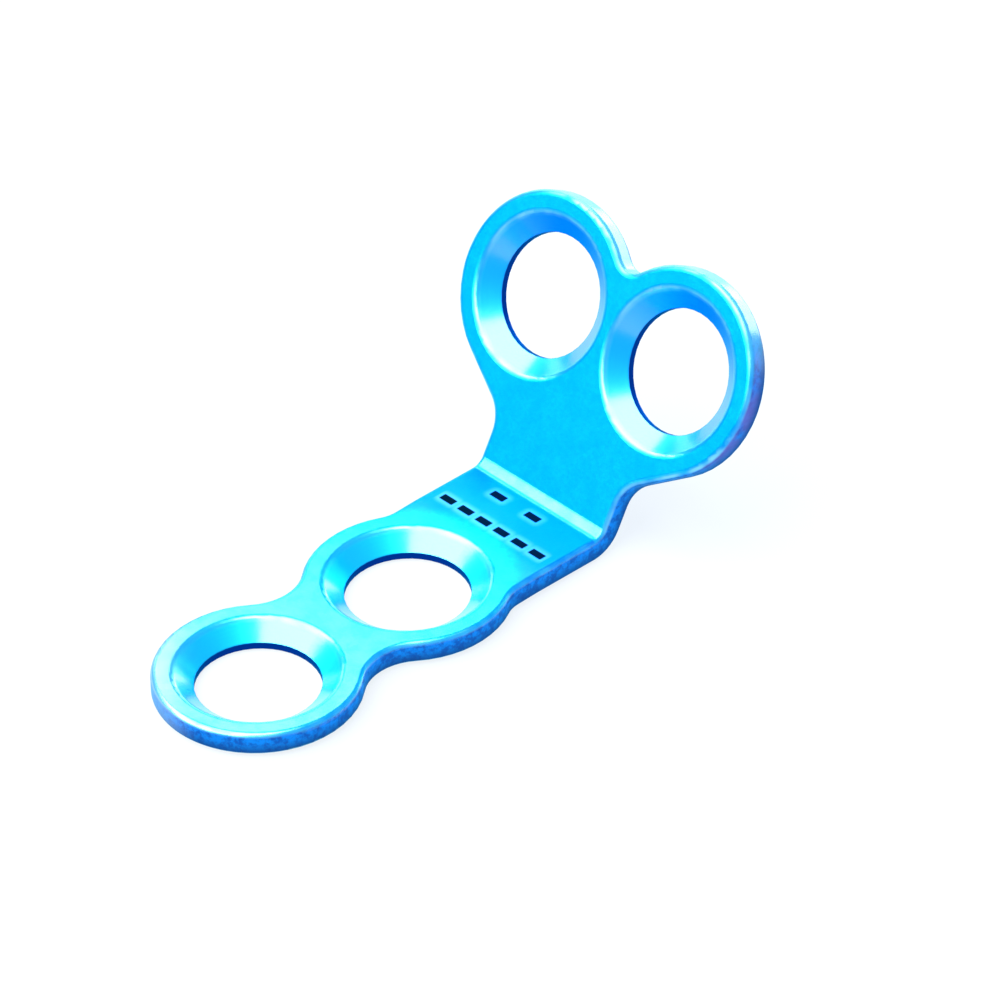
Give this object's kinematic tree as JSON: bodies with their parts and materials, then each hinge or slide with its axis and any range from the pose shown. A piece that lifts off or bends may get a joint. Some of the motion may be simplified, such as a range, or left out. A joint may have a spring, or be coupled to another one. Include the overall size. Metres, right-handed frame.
{
  "type": "bone plate",
  "caption": "Thin T-shaped bone plate bent at the neck, with countersunk screw holes in line along the stem and side by side in the head.",
  "frame": {"origin": "centre of the inner stem hole on the bone side of the stem", "axes": "+X along the stem towards the head, +Z out of the bone towards the screw heads, +Y to the left head hole"},
  "size_m": [0.0155, 0.0094, 0.0065],
  "materials": {
    "anodised_titanium": "fine blasted, anodised light blue, satin"
  },
  "bodies": {
    "root": {"bone_plate": "anodised_titanium"}
  },
  "joints": []
}
